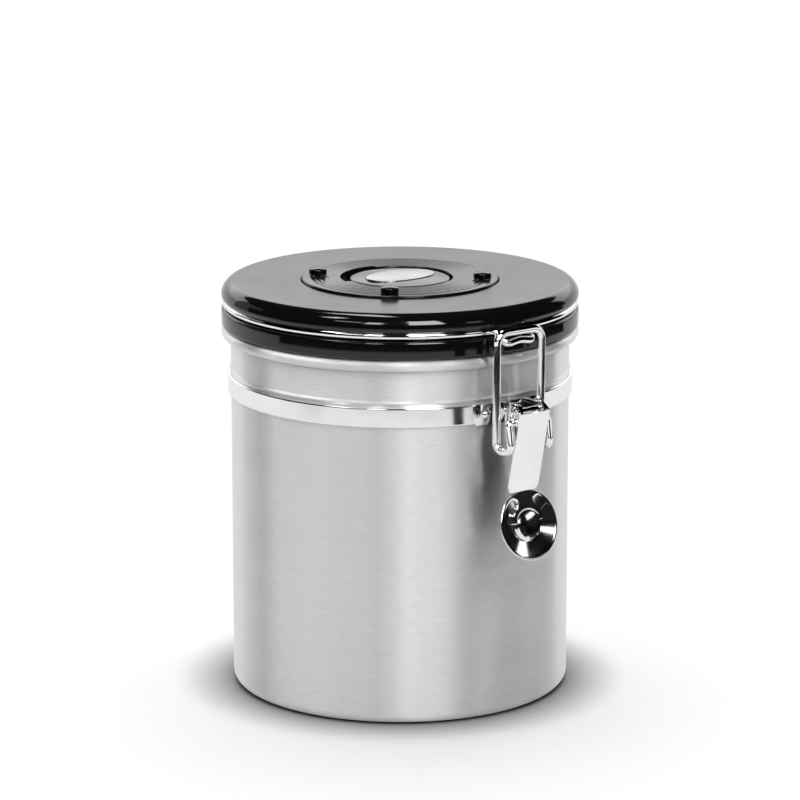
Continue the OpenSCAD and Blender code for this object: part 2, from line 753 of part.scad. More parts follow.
can_body();
band_strap();
latch_bracket();
bracket_rivets();
lever_pin();
hinge_bracket();
hinge_rivets();
lid_shell();
lid_liner();
lid_gasket();
lid_wire();
valve_body();
valve_o_ring();
valve_cage();
valve_filter();
filter_retainer();
valve_flap();
vent_ring();
grip_studs();
centre_cap();
oval_plate();
latch_lever();
bail_wire();
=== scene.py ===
import json
import math

import bmesh
import bpy
from mathutils import Matrix, Vector

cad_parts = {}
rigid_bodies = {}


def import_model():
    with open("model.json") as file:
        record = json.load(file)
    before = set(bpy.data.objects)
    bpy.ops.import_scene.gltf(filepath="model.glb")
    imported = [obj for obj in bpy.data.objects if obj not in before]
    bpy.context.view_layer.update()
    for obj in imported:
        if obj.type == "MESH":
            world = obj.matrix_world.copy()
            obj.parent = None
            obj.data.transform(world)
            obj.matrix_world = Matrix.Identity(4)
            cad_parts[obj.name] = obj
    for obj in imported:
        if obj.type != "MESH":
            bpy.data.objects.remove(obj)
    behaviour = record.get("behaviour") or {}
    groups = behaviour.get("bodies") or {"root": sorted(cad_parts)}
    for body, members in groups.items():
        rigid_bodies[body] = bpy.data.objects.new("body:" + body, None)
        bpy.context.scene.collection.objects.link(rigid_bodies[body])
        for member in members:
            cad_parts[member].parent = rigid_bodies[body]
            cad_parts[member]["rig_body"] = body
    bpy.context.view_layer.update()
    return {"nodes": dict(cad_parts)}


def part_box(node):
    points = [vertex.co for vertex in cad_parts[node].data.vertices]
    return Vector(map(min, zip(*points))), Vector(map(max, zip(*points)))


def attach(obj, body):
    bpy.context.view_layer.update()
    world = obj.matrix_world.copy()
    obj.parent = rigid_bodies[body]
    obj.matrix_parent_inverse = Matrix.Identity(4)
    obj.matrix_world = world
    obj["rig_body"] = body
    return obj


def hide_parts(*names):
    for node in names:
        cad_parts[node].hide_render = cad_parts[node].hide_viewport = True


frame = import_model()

# Camera. It looks at the canister from the left of the clamp and a little from above,
# from more than a metre away, so that upright lines stay upright.
view_turn = math.radians(-38)
view_out = 1.430
view_height = 0.445
view_pitch = math.radians(13.31)
lens = 177.1

camera = bpy.data.objects.new("camera", bpy.data.cameras.new("camera"))
camera.data.lens = lens
camera.data.clip_end = 30
camera.location = (view_out * math.sin(view_turn), -view_out * math.cos(view_turn), view_height)
camera.rotation_euler = (math.pi / 2 - view_pitch, 0, view_turn)
bpy.context.scene.collection.objects.link(camera)
bpy.context.scene.camera = camera
bpy.context.scene.view_settings.view_transform = "Standard"


# Studio. A white floor under an even sky and a soft sun that stands behind the canister. In reflections the
# room is dark: gloss and metal see the floor near the canister, the dark table beyond it, and curved screens
# and lamps round it, some of which only the brushed steel, the lever or the bail sees.
floor_half = 9.0
floor_white = 0.93
floor_seen = 1.13
# Reach, depth and rays of the painted contact shadow in the floor's colour round the can's foot.
foot_shade_reach, foot_shade_power, foot_shade_rays = 0.024, 1.7, 16
sky_level = 0.62
room_dark = 0.015
sun_level = 1.35
sun_width = math.radians(55)
sun_lean = math.radians(16)

world = bpy.data.worlds.new("studio")
bpy.context.scene.world = world
world.use_nodes = True

# The camera sees plain white above the floor, reflections see a dark room, and the sky lights the rest.
nodes, links = world.node_tree.nodes, world.node_tree.links
nodes.clear()
path = nodes.new("ShaderNodeLightPath")
mirrored_ray = nodes.new("ShaderNodeMath")
mirrored_ray.operation = "MAXIMUM"
links.new(path.outputs["Is Glossy Ray"], mirrored_ray.inputs[0])
links.new(path.outputs["Is Transmission Ray"], mirrored_ray.inputs[1])
level = nodes.new("ShaderNodeMix")
level.inputs[2].default_value = sky_level
level.inputs[3].default_value = room_dark
links.new(mirrored_ray.outputs[0], level.inputs["Factor"])
plain = nodes.new("ShaderNodeMix")
plain.inputs[3].default_value = 1.0
links.new(path.outputs["Is Camera Ray"], plain.inputs["Factor"])
links.new(level.outputs[0], plain.inputs[2])
sky = nodes.new("ShaderNodeBackground")
links.new(plain.outputs[0], sky.inputs["Strength"])
links.new(sky.outputs[0], nodes.new("ShaderNodeOutputWorld").inputs["Surface"])

sun = bpy.data.objects.new("sun", bpy.data.lights.new("sun", "SUN"))
sun.data.energy = sun_level
sun.data.angle = sun_width
sun.rotation_euler = (-sun_lean, 0, view_turn)
sun.visible_glossy = False
bpy.context.scene.collection.objects.link(sun)


def staged(name, points, faces, mirror_only=True):
    """A sheet of the studio, which as a rule is seen in reflections alone"""
    mesh = bpy.data.meshes.new(name)
    mesh.from_pydata(points, [], faces)
    sheet = bpy.data.objects.new(name, mesh)
    bpy.context.scene.collection.objects.link(sheet)
    if mirror_only:
        sheet.visible_camera = sheet.visible_diffuse = False
        sheet.visible_shadow = sheet.visible_transmission = False
    return sheet


def round_about(degrees, out, height):
    """A point at a bearing, in degrees to the right of the camera, and at a distance from the can's axis"""
    a = view_turn + math.radians(degrees)
    return out * math.sin(a), -out * math.cos(a), height


def grid_faces(columns, rows):
    """The faces of a grid of points that are listed row by row"""
    starts = [j * (columns + 1) + i for j in range(rows) for i in range(columns)]
    return [(k, k + 1, k + columns + 2, k + columns + 1) for k in starts]


def ranged(material, source, low, high, start=0.3, end=0.7):
    """A value spread between two levels, which may be greys"""
    node = material.node_tree.nodes.new("ShaderNodeMapRange")
    node.inputs["From Min"].default_value = start
    node.inputs["From Max"].default_value = end
    node.inputs["To Min"].default_value = low
    node.inputs["To Max"].default_value = high
    material.node_tree.links.new(source, node.inputs["Value"])
    return node.outputs["Result"]


lid_level = 0.15
screen_columns, screen_rows = 12, 6


def in_mirror(name, bearings, rises, far, level, top_level=None, marks=(0, 1), seen_by=None):
    """A curved screen round the canister that only reflections see, in all pieces or in a group of them.
    Bearings are degrees to the right of the camera and rises are degrees above the lid. The light may
    change to another level between two marked heights."""
    points = []
    for j in range(screen_rows + 1):
        rise = math.radians(rises[0] + (rises[1] - rises[0]) * j / screen_rows)
        for i in range(screen_columns + 1):
            bearing = bearings[0] + (bearings[1] - bearings[0]) * i / screen_columns
            points.append(round_about(bearing, far * math.cos(rise), lid_level + far * math.sin(rise)))
    screen = staged(name, points, grid_faces(screen_columns, screen_rows))
    screen.light_linking.receiver_collection = seen_by
    glow = bpy.data.materials.new(name)
    glow.use_nodes = True
    nodes, links = glow.node_tree.nodes, glow.node_tree.links
    nodes.clear()
    shine = nodes.new("ShaderNodeEmission")
    shine.inputs["Strength"].default_value = level
    if top_level is not None:
        where, split = nodes.new("ShaderNodeTexCoord"), nodes.new("ShaderNodeSeparateXYZ")
        links.new(where.outputs["Object"], split.inputs[0])
        links.new(ranged(glow, split.outputs["Z"], level, top_level, *marks), shine.inputs["Strength"])
    links.new(shine.outputs[0], nodes.new("ShaderNodeOutputMaterial").inputs["Surface"])
    screen.data.materials.append(glow)


floor_corners = [(i * floor_half, j * floor_half, 0) for i, j in ((-1, -1), (1, -1), (1, 1), (-1, 1))]
floor = staged("floor", floor_corners, [(0, 1, 2, 3)], mirror_only=False)
paper = bpy.data.materials.new("white floor")
paper.use_nodes = True
nodes, links = paper.node_tree.nodes, paper.node_tree.links
surface = nodes["Principled BSDF"]
surface.inputs["Roughness"].default_value = 1.0
surface.inputs["Specular IOR Level"].default_value = 0.0
path = nodes.new("ShaderNodeLightPath")
# Painted shadow: an ambient-occlusion term, deepened and lifted, darkens the floor's colour for the camera
# round the can's foot.
foot_shade = nodes.new("ShaderNodeAmbientOcclusion")
foot_shade.inputs["Distance"].default_value = foot_shade_reach
foot_shade.samples = foot_shade_rays
deepened = nodes.new("ShaderNodeMath")
deepened.operation = "POWER"
deepened.inputs[1].default_value = foot_shade_power
lifted = nodes.new("ShaderNodeMath")
lifted.operation = "MULTIPLY"
lifted.inputs[1].default_value = floor_seen
tone = nodes.new("ShaderNodeMix")
tone.data_type = "RGBA"
tone.inputs[6].default_value = (*(floor_white,) * 3, 1)
links.new(foot_shade.outputs["AO"], deepened.inputs[0])
links.new(deepened.outputs[0], lifted.inputs[0])
links.new(lifted.outputs[0], tone.inputs[7])
links.new(path.outputs["Is Camera Ray"], tone.inputs["Factor"])
links.new(tone.outputs[2], surface.inputs["Base Color"])
floor.data.materials.append(paper)

# The groups of pieces that a screen or lamp can be kept to.
brushed_pieces = bpy.data.collections.new("brushed pieces")
other_pieces = bpy.data.collections.new("not brushed")
latch_pieces = bpy.data.collections.new("latch pieces")
bail_pieces = bpy.data.collections.new("bail")
in_mirror("backdrop", (128, 232), (-8, 28), far=1.2, level=0.9, top_level=1.75, marks=(0.34, 0.48))
in_mirror("left screen", (-145, -100), (-8, 25), far=1.2, level=0.3)
in_mirror("right screen", (70, 98), (-2, 22), far=1.2, level=1.1, seen_by=latch_pieces)
in_mirror("bail screen", (-110, 22), (-12, 14), far=1.1, level=1.0, seen_by=bail_pieces)
in_mirror("bail edge screen", (62, 110), (-12, 14), far=1.1, level=1.0, seen_by=bail_pieces)
in_mirror("front lamp", (6, 29), (22, 52), far=1.5, level=12.0, seen_by=other_pieces)
in_mirror("small lamp", (-23, -12), (26, 40), far=1.5, level=10.0, seen_by=other_pieces)
in_mirror("thin lamp", (-46, -27), (34, 39), far=1.5, level=5.0, seen_by=other_pieces)
in_mirror("left lamp", (-71, -55), (52, 64), far=1.5, level=10.0, seen_by=other_pieces)
in_mirror("top lamp", (9, 38), (96, 120), far=1.5, level=8.0, seen_by=other_pieces)
in_mirror("left edge glow", (-140, -112), (10, 60), far=1.7, level=0.75, seen_by=brushed_pieces)
in_mirror("wide left glow", (-112, 4), (10, 60), far=1.7, level=2.1, seen_by=brushed_pieces)
in_mirror("stripe", (4, 25), (10, 60), far=1.7, level=5.6, seen_by=brushed_pieces)
in_mirror("soft right of stripe", (25, 40), (10, 60), far=1.7, level=2.0, seen_by=brushed_pieces)
in_mirror("wide right glow", (40, 112), (10, 60), far=1.7, level=0.9, seen_by=brushed_pieces)
in_mirror("right edge glow", (112, 150), (10, 60), far=1.7, level=0.4, seen_by=brushed_pieces)
in_mirror("thumb card", (43, 53), (14, 24), far=1.1, level=1.6, seen_by=other_pieces)

# In reflections the far table is dark, between two bearings and from a distance on. The wide sheet lies a
# little above the narrow ones.
table_dark = (0.01, 0.01, 0.01, 1)
table_far = 8
table_steps = 16
table_rise = 0.001
table_black = bpy.data.materials.new("dark end of the table")
table_black.use_nodes = True
surface = table_black.node_tree.nodes["Principled BSDF"]
surface.inputs["Base Color"].default_value = table_dark
surface.inputs["Specular IOR Level"].default_value = 0.0
for start, stop, near in ((-80, 125, 0.62), (33, 40, 0.42), (47, 55, 0.42), (66, 84, 0.42)):
    turns = [start + (stop - start) * i / table_steps for i in range(table_steps + 1)]
    points = [round_about(turn, out, near * table_rise) for out in (near, table_far) for turn in turns]
    end = staged("dark end of the table", points, grid_faces(table_steps, 1))
    end.data.materials.append(table_black)


# Can body. Deep-drawn stainless steel, brushed round its girth, with a pressed ring in the bottom,
# a small bead above the band and a rim rolled outwards.
def arc(r, z, radius, start, end, steps=8):
    """Points of a round stretch of an outline, between two angles in degrees"""
    angles = [math.radians(start + (end - start) * i / steps) for i in range(steps + 1)]
    return [(r + radius * math.cos(a), z + radius * math.sin(a)) for a in angles]


def turned(name, outline, steps=256, start=0.0, turn=360.0):
    """A turned mesh from an outline of radii and heights. An outline that ends on the axis closes there."""
    full = turn >= 360
    columns = steps if full else steps + 1
    on_axis = outline[0][0] < 1e-7 and outline[-1][0] < 1e-7
    shape = bmesh.new()
    rows = []
    for i in range(columns):
        a = math.radians(start + turn * i / steps)
        rows.append([shape.verts.new((r * math.cos(a), r * math.sin(a), z)) for r, z in outline])
    last = len(outline) - 1
    for i in range(steps):
        here, there = rows[i], rows[(i + 1) % columns]
        for j in range(last if on_axis else last + 1):
            k = (j + 1) % (last + 1)
            shape.faces.new((here[j], there[j], there[k], here[k]))
    if not full:
        shape.faces.new(rows[0])
        shape.faces.new(rows[-1])
    bmesh.ops.remove_doubles(shape, verts=shape.verts, dist=1e-7)
    bmesh.ops.recalc_face_normals(shape, faces=shape.faces)
    mesh = bpy.data.meshes.new(name)
    shape.to_mesh(mesh)
    shape.free()
    return mesh


def fitted(name, mesh, material, node, crease=32):
    """A finished piece that stands for a CAD node and rides on that node's body"""
    mesh.materials.clear()
    mesh.materials.append(material)
    mesh.shade_smooth()
    mesh.set_sharp_from_angle(angle=math.radians(crease))
    piece = bpy.data.objects.new(name, mesh)
    bpy.context.scene.collection.objects.link(piece)
    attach(piece, frame["nodes"][node]["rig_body"])
    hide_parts(node)
    return piece


def effect(name, inputs, outputs):
    """An empty shader node group with named inputs and outputs"""
    tree = bpy.data.node_groups.new(name, "ShaderNodeTree")
    for label, kind, value in inputs:
        socket = tree.interface.new_socket(label, in_out="INPUT", socket_type=kind)
        if value is not None:
            socket.default_value = value
    for label, kind in outputs:
        tree.interface.new_socket(label, in_out="OUTPUT", socket_type=kind)
    return tree, tree.nodes.new("NodeGroupInput"), tree.nodes.new("NodeGroupOutput")


# Grain of a brushed surface: long fine lines, and broad soft bands where the belt pressed harder.
grain, given, out = effect(
    "brushed grain",
    [("Vector", "NodeSocketVector", None), ("Lines", "NodeSocketVector", (220, 220, 4200)),
     ("Bands", "NodeSocketVector", (9, 9, 240))],
    [("Lines", "NodeSocketFloat"), ("Bands", "NodeSocketFloat")])
for label, detail, wear in (("Lines", 3.0, 0.6), ("Bands", 4.0, 0.55)):
    scaled = grain.nodes.new("ShaderNodeVectorMath")
    scaled.operation = "MULTIPLY"
    noise = grain.nodes.new("ShaderNodeTexNoise")
    noise.inputs["Scale"].default_value = 1.0
    noise.inputs["Detail"].default_value = detail
    noise.inputs["Roughness"].default_value = wear
    grain.links.new(given.outputs["Vector"], scaled.inputs[0])
    grain.links.new(given.outputs[label], scaled.inputs[1])
    grain.links.new(scaled.outputs[0], noise.inputs["Vector"])
    grain.links.new(noise.outputs[0], out.inputs[label])


def placed(material, tree, **values):
    """A group node in a material, fed with Object coordinates and its own values"""
    here = material.node_tree
    node = here.nodes.new("ShaderNodeGroup")
    node.node_tree = tree
    where = here.nodes.new("ShaderNodeTexCoord")
    here.links.new(where.outputs["Object"], node.inputs["Vector"])
    for label, value in values.items():
        node.inputs[label.replace("_", " ")].default_value = value
    return node


def tinted(material, source, dark, light):
    """A colour between two tones"""
    node = material.node_tree.nodes.new("ShaderNodeMix")
    node.data_type = "RGBA"
    node.inputs[6].default_value = (*dark, 1)
    node.inputs[7].default_value = (*light, 1)
    material.node_tree.links.new(source, node.inputs["Factor"])
    return node.outputs[2]


def finish_of(name, metallic=0.0, **plain):
    """A new material, its surface shader and its links. Plain numbers are set on the shader's own sockets."""
    material = bpy.data.materials.new(name)
    material.use_nodes = True
    shader = material.node_tree.nodes["Principled BSDF"]
    shader.inputs["Metallic"].default_value = metallic
    for label, value in plain.items():
        shader.inputs[label.replace("_", " ")].default_value = value
    return material, shader, material.node_tree.links


def bumped(material, height, distance):
    """The normal of a surface that rises with a height"""
    node = material.node_tree.nodes.new("ShaderNodeBump")
    node.inputs["Strength"].default_value = 1.0
    node.inputs["Distance"].default_value = distance
    material.node_tree.links.new(height, node.inputs["Height"])
    return node.outputs["Normal"]


brushed, shader, links = finish_of("brushed steel", metallic=1.0, Anisotropic=1.0, Anisotropic_Rotation=0.25)
lines = placed(brushed, grain)
links.new(tinted(brushed, ranged(brushed, lines.outputs["Lines"], 0, 1),
                 (0.74, 0.74, 0.74), (0.84, 0.84, 0.84)), shader.inputs["Base Color"])
links.new(ranged(brushed, lines.outputs["Bands"], 0.36, 0.42), shader.inputs["Roughness"])
links.new(bumped(brushed, lines.outputs["Lines"], 0.000012), shader.inputs["Normal"])
spun = brushed.node_tree.nodes.new("ShaderNodeTangent")
spun.direction_type = "RADIAL"
spun.axis = "Z"
links.new(spun.outputs["Tangent"], shader.inputs["Tangent"])

can_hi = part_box("can_body")[1]
can_wall = 0.0008
roll = 0.0021
foot = 0.004
press_r, press_w, press_h = 0.044, 0.006, 0.0005
rim_r, rim_z = can_hi.x - roll, can_hi.z - roll
can_in = rim_r - roll
can_out = can_in + can_wall
band_lo, band_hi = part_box("band_strap")
bead_z, bead_half, bead_h = band_hi.z + 0.0015, 0.0010, 0.00045

bead = [(can_out + bead_h * (1 + math.cos(math.pi * k / 8)) / 2, bead_z + bead_half * k / 8)
        for k in range(-8, 9)]
outline = [(0, 0), (press_r - can_wall, 0), (press_r, press_h), (press_r + press_w, press_h),
           (press_r + press_w + can_wall, 0)]
outline += arc(can_out - foot, foot, foot, -90, 0, 12)
outline += bead
outline += arc(rim_r, rim_z, roll - can_wall, 180, -100, 24)
outline += arc(rim_r, rim_z, roll, -100, 180, 32)
outline += arc(can_out - foot, foot, foot - can_wall, 0, -90, 10)
outline += [(press_r + press_w + can_wall, can_wall), (press_r + press_w, press_h + can_wall),
            (press_r, press_h + can_wall), (press_r - can_wall, can_wall), (0, can_wall)]
can = fitted("shown_can", turned("can", outline, 320), brushed, "can_body")
brushed_pieces.objects.link(can)
other_pieces.objects.link(can)
other_pieces.collection_objects[0].light_linking.link_state = "EXCLUDE"


# Band. A narrow polished strap, drawn tight round the can, with eased edges. The clamp and the hinge
# are riveted to it.
def layered(tree, given, out, layers):
    """Fills an effect with a noise for each output, at the scale that one of its inputs gives"""
    for label, scale, detail in layers:
        noise = tree.nodes.new("ShaderNodeTexNoise")
        noise.inputs["Detail"].default_value = detail
        tree.links.new(given.outputs["Vector"], noise.inputs["Vector"])
        tree.links.new(given.outputs[scale], noise.inputs["Scale"])
        tree.links.new(noise.outputs[0], out.inputs[label])


marks, given, out = effect(
    "polish marks",
    [("Vector", "NodeSocketVector", None), ("Haze scale", "NodeSocketFloat", 90.0),
     ("Wave scale", "NodeSocketFloat", 60.0)],
    [("Haze", "NodeSocketFloat"), ("Waves", "NodeSocketFloat")])
layered(marks, given, out, (("Haze", "Haze scale", 6.0), ("Waves", "Wave scale", 1.0)))


def polished_finish(name, grey, smooth, waves):
    """Polished steel of a given grey, with a faint haze and the slight waves of bent sheet"""
    material, shader, links = finish_of(name, metallic=1.0)
    spots = placed(material, marks)
    links.new(tinted(material, ranged(material, spots.outputs["Haze"], 0, 1),
                     (grey * 0.94,) * 3, (grey,) * 3), shader.inputs["Base Color"])
    links.new(ranged(material, spots.outputs["Haze"], smooth, smooth * 2), shader.inputs["Roughness"])
    links.new(bumped(material, spots.outputs["Waves"], waves), shader.inputs["Normal"])
    return material


band_steel = polished_finish("polished band", 0.98, 0.07, 0.0002)
band_fit = 0.00002
band_in, band_out = can_out + band_fit, band_hi.x
edge, brace = 0.0005, 0.0001
outline = [(band_in, band_lo.z)]
outline += arc(band_out - edge, band_lo.z + edge, edge, -90, 0, 6)
outline += [(band_out, band_lo.z + edge + brace), (band_out, band_hi.z - edge - brace)]
outline += arc(band_out - edge, band_hi.z - edge, edge, 0, 90, 6)
outline += [(band_in, band_hi.z)]
fitted("shown_band", turned("band", outline, 320), band_steel, "band_strap")


# Brackets and pin. Stamped steel plates, riveted to the band. The front one has two ears that carry the
# lever's steel pin, and the rear one is rolled into an eye for the bar of the lid wire.
def eased(node, width):
    """A copy of a CAD node's mesh, merged, with its flat faces joined and its edges rounded"""
    mesh = frame["nodes"][node].data.copy()
    mesh.name = node + " eased"
    shape = bmesh.new()
    shape.from_mesh(mesh)
    bmesh.ops.remove_doubles(shape, verts=shape.verts, dist=2e-6)
    bmesh.ops.dissolve_limit(shape, angle_limit=math.radians(0.6), verts=shape.verts, edges=shape.edges)
    shape.to_mesh(mesh)
    shape.free()
    if "custom_normal" in mesh.attributes:
        mesh.attributes.remove(mesh.attributes["custom_normal"])
    rounded = bpy.data.objects.new(mesh.name, mesh)
    bpy.context.scene.collection.objects.link(rounded)
    bevel = rounded.modifiers.new("edges", "BEVEL")
    bevel.width = width
    bevel.segments = 2
    bevel.limit_method = "ANGLE"
    bevel.angle_limit = math.radians(40)
    return settled(rounded)


def settled(source):
    """The mesh that an object's modifiers make. The object itself is taken away."""
    view = bpy.context.evaluated_depsgraph_get()
    mesh = bpy.data.meshes.new_from_object(source.evaluated_get(view))
    bpy.data.objects.remove(source)
    return mesh


clamp_steel = polished_finish("polished clamp", 0.86, 0.07, 0.0001)
plate_ease, pin_ease = 0.00012, 0.0001
for name, node, ease in (("shown_clamp_bracket", "latch_bracket", plate_ease),
                         ("shown_clamp_pin", "lever_pin", pin_ease),
                         ("shown_hinge_bracket", "hinge_bracket", plate_ease)):
    fitted(name, eased(node, ease), clamp_steel, node)


# Lid. A glossy black moulding with a rounded edge, a groove for its wire, a lower ring over the rim of
# the can, and a well in the middle for the vent cover.
skin, given, out = effect(
    "moulded skin",
    [("Vector", "NodeSocketVector", None), ("Peel scale", "NodeSocketFloat", 900.0),
     ("Smudge scale", "NodeSocketFloat", 38.0), ("Speck scale", "NodeSocketFloat", 5200.0)],
    [("Peel", "NodeSocketFloat"), ("Smudge", "NodeSocketFloat"), ("Specks", "NodeSocketFloat")])
layered(skin, given, out, (("Peel", "Peel scale", 2.0), ("Smudge", "Smudge scale", 5.0),
                           ("Specks", "Speck scale", 1.0)))


def moulded_finish(name, dark, light, smooth, rough, peel):
    """Moulded plastic between two tones, with smudges in its gloss and a faint orange peel"""
    material, shader, links = finish_of(name)
    surface = placed(material, skin)
    links.new(tinted(material, ranged(material, surface.outputs["Specks"], 0, 1), dark, light),
              shader.inputs["Base Color"])
    links.new(ranged(material, surface.outputs["Smudge"], smooth, rough), shader.inputs["Roughness"])
    links.new(bumped(material, surface.outputs["Peel"], peel), shader.inputs["Normal"])
    return material


def facing(material, axis, start, end, low, high):
    """A value spread by how far the surface turns to an axis of its own piece"""
    where = material.node_tree.nodes.new("ShaderNodeTexCoord")
    split = material.node_tree.nodes.new("ShaderNodeSeparateXYZ")
    material.node_tree.links.new(where.outputs["Normal"], split.inputs[0])
    return ranged(material, split.outputs[axis], low, high, start, end)


def roughened(material, extra):
    """Adds a value to the roughness of a finish"""
    rough = material.node_tree.nodes["Principled BSDF"].inputs["Roughness"]
    total = material.node_tree.nodes.new("ShaderNodeMath")
    material.node_tree.links.new(rough.links[0].from_socket, total.inputs[0])
    material.node_tree.links.new(extra, total.inputs[1])
    material.node_tree.links.new(total.outputs[0], rough)


# The flat top of the lid is a little more satin than its edge.
lid_black = moulded_finish("gloss black lid", (0.004,) * 3, (0.007,) * 3, 0.05, 0.11, 0.000004)
top_from, top_full, top_satin = 0.97, 0.999, 0.14
roughened(lid_black, facing(lid_black, "Z", top_from, top_full, 0.0, top_satin))

lid_lo, lid_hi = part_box("lid_shell")
lid_r, lid_z = lid_hi.x, lid_hi.z
hoop_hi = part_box("lid_wire")[1]
wire_r = 0.0014
hoop_z = hoop_hi.z - wire_r
hoop_r = lid_r - 0.0017
shell_bot = lid_lo.z
top_round, under_round, ring_round, foot_round = 0.005, 0.002, 0.0012, 0.001
ring_top = hoop_z - 0.0017
under_z = hoop_z + 0.0029
neck_r = hoop_r - 0.001
groove_r = wire_r + 0.00005
shell_in = can_in - 0.0011
well_r = 0.0366
well_z = lid_z - 0.006
well_lip = 0.0004
floor_t, shell_t = 0.002, 0.0024
hole_r = 0.022
seal_in, seal_out = rim_r - 0.0026, rim_r + 0.0006
seal_top = shell_bot + 0.00195
groove_turn = math.degrees(math.acos((hoop_r - neck_r) / groove_r))

outline = [(shell_in, shell_bot), (seal_in, shell_bot), (seal_in, seal_top), (seal_out, seal_top),
           (seal_out, shell_bot)]
outline += arc(lid_r - foot_round, shell_bot + foot_round, foot_round, -90, 0, 6)
outline += arc(lid_r - ring_round, ring_top - ring_round, ring_round, 0, 90, 8)
outline += [(neck_r, ring_top)]
outline += arc(hoop_r, hoop_z, groove_r, 180 + groove_turn, 180 - groove_turn, 10)
outline += arc(lid_r - under_round, under_z, under_round, -100, 0, 12)
outline += arc(lid_r - top_round, lid_z - top_round, top_round, 0, 90, 24)
outline += [(well_r + well_lip, lid_z), (well_r, lid_z - well_lip), (well_r, well_z), (hole_r, well_z),
            (hole_r, well_z - floor_t), (well_r + shell_t, well_z - floor_t),
            (well_r + shell_t, lid_z - shell_t), (shell_in, lid_z - shell_t)]


def worked(mesh, others, how="DIFFERENCE"):
    """A mesh with other closed meshes cut out of it, or joined to it"""
    block = bpy.data.objects.new(mesh.name, mesh)
    bpy.context.scene.collection.objects.link(block)
    for other in others:
        tool = bpy.data.objects.new(other.name, other)
        bpy.context.scene.collection.objects.link(tool)
        step = block.modifiers.new(other.name, "BOOLEAN")
        step.operation = how
        step.solver = "EXACT"
        step.object = tool
    tools = [step.object for step in block.modifiers]
    mesh = settled(block)
    for tool in tools:
        bpy.data.objects.remove(tool)
    return mesh


def brick(name, low, high):
    """A plain box between two corners, as a cutter"""
    mesh = bpy.data.meshes.new(name)
    shape = bmesh.new()
    bmesh.ops.create_cube(shape, size=1)
    for vertex in shape.verts:
        vertex.co = [low[i] + (high[i] - low[i]) * (vertex.co[i] + 0.5) for i in range(3)]
    shape.to_mesh(mesh)
    shape.free()
    return mesh


notch_deep, notch_far = hoop_r - 0.0004, 0.09
notch_top = hoop_z + groove_r + 0.0001
front_half, front_low, rear_half = 0.0089, hoop_z - 0.0038, 0.0118
front_notch = brick("front notch", (-front_half, -notch_far, front_low), (front_half, -notch_deep, notch_top))
rear_notch = brick("rear notch", (-rear_half, notch_deep, ring_top), (rear_half, notch_far, notch_top))
shell = worked(turned("lid", outline, 320), [front_notch, rear_notch])
fitted("shown_lid", shell, lid_black, "lid_shell")


# Lid wire. Spring steel wire in the lid's groove. At the front it bends out and down into the catch,
# and at the back into the bar that turns in the hinge.
def bent(points, bends, steps=10):
    """A path through points, with each inner corner rounded to its own bend radius"""
    path = [points[0]]
    for before, corner, after, bend in zip(points, points[1:], points[2:], bends):
        u, v = (corner - before).normalized(), (after - corner).normalized()
        turn = u.angle(v)
        middle = corner + (v - u).normalized() * bend / math.cos(turn / 2)
        arm = corner - u * bend * math.tan(turn / 2) - middle
        axis = u.cross(v).normalized()
        path += [middle + Matrix.Rotation(turn * i / steps, 3, axis) @ arm for i in range(steps + 1)]
    path.append(points[-1])
    return path


def maker_tree(name, inputs, output):
    """A Geometry Nodes tree with named inputs and one output, with its two end nodes"""
    tree = bpy.data.node_groups.new(name, "GeometryNodeTree")
    tree.is_modifier = True
    for label, kind in inputs:
        tree.interface.new_socket(label, in_out="INPUT", socket_type="NodeSocket" + kind)
    tree.interface.new_socket(output, in_out="OUTPUT", socket_type="NodeSocketGeometry")
    return tree, tree.nodes.new("NodeGroupInput"), tree.nodes.new("NodeGroupOutput")


wire_tree, given, out = maker_tree(
    "drawn wire",
    (("Path", "Geometry"), ("Radius", "Float"), ("Sides", "Int"), ("Finish", "Material")), "Wire")
nodes, links = wire_tree.nodes, wire_tree.links
run = nodes.new("GeometryNodeMeshToCurve")
ring = nodes.new("GeometryNodeCurvePrimitiveCircle")
drawn = nodes.new("GeometryNodeCurveToMesh")
drawn.inputs["Fill Caps"].default_value = True
real = nodes.new("GeometryNodeRealizeInstances")
coat = nodes.new("GeometryNodeSetMaterial")
links.new(given.outputs["Path"], run.inputs["Mesh"])
links.new(given.outputs["Radius"], ring.inputs["Radius"])
links.new(given.outputs["Sides"], ring.inputs["Resolution"])
links.new(run.outputs["Curve"], drawn.inputs["Curve"])
links.new(ring.outputs["Curve"], drawn.inputs["Profile Curve"])
links.new(drawn.outputs["Mesh"], real.inputs["Geometry"])
links.new(real.outputs["Geometry"], coat.inputs["Geometry"])
links.new(given.outputs["Finish"], coat.inputs["Material"])
links.new(coat.outputs["Geometry"], out.inputs["Wire"])


def grown(name, mesh, tree, **values):
    """The plain mesh that a Geometry Nodes tree makes of a mesh, with its named inputs set"""
    start = bpy.data.objects.new(name, mesh)
    bpy.context.scene.collection.objects.link(start)
    maker = start.modifiers.new(tree.name, "NODES")
    maker.node_group = tree
    for item in tree.interface.items_tree:
        label = item.name.replace(" ", "_")
        if item.in_out == "INPUT" and label in values:
            maker[item.identifier] = values[label]
    return settled(start)


def wire_mesh(name, path, radius, finish, closed=False):
    """A round wire along a path"""
    line = bpy.data.meshes.new(name)
    count = len(path)
    edges = [(i, (i + 1) % count) for i in range(count if closed else count - 1)]
    line.from_pydata(path, edges, [])
    mesh = grown(name, line, wire_tree, Radius=radius, Sides=40, Finish=finish)
    shape = bmesh.new()
    shape.from_mesh(mesh)
    bmesh.ops.remove_doubles(shape, verts=shape.verts, dist=1e-7)
    bmesh.ops.recalc_face_normals(shape, faces=shape.faces)
    shape.to_mesh(mesh)
    shape.free()
    return mesh


